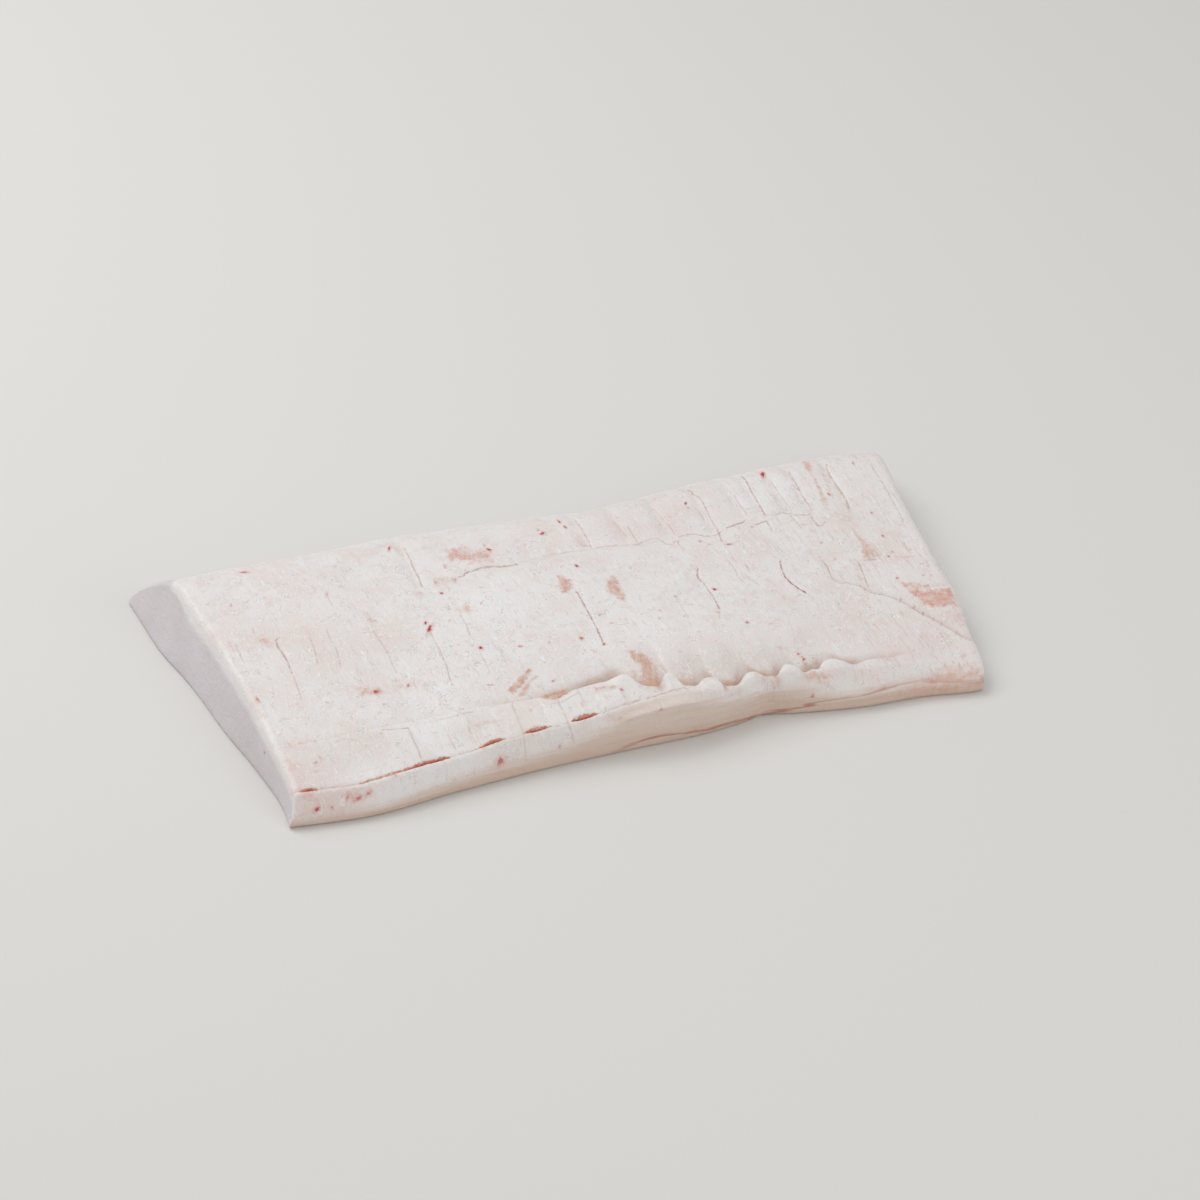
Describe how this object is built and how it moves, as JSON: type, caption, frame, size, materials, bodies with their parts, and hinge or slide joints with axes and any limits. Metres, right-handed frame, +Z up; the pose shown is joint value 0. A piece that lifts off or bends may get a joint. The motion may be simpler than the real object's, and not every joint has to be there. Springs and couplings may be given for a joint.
{
  "type": "pork fatback",
  "caption": "Thick rectangular slab of raw back fat, cut square at both ends, with a rounded back edge, a slit front shoulder and a scalloped crest of bone marks.",
  "frame": {"origin": "under the middle of the slab, on the surface it rests on", "axes": "+X along the slab, from the left cut to the right cut; +Y across it, from the front edge with the slit to the rounded back edge; +Z up out of its inner side"},
  "size_m": [0.5176, 0.2534, 0.0376],
  "materials": {
    "raw_fat": "moist warm white fat, satin, faintly pink in places"
  },
  "bodies": {
    "root": {"fatback": "raw_fat"}
  },
  "joints": []
}
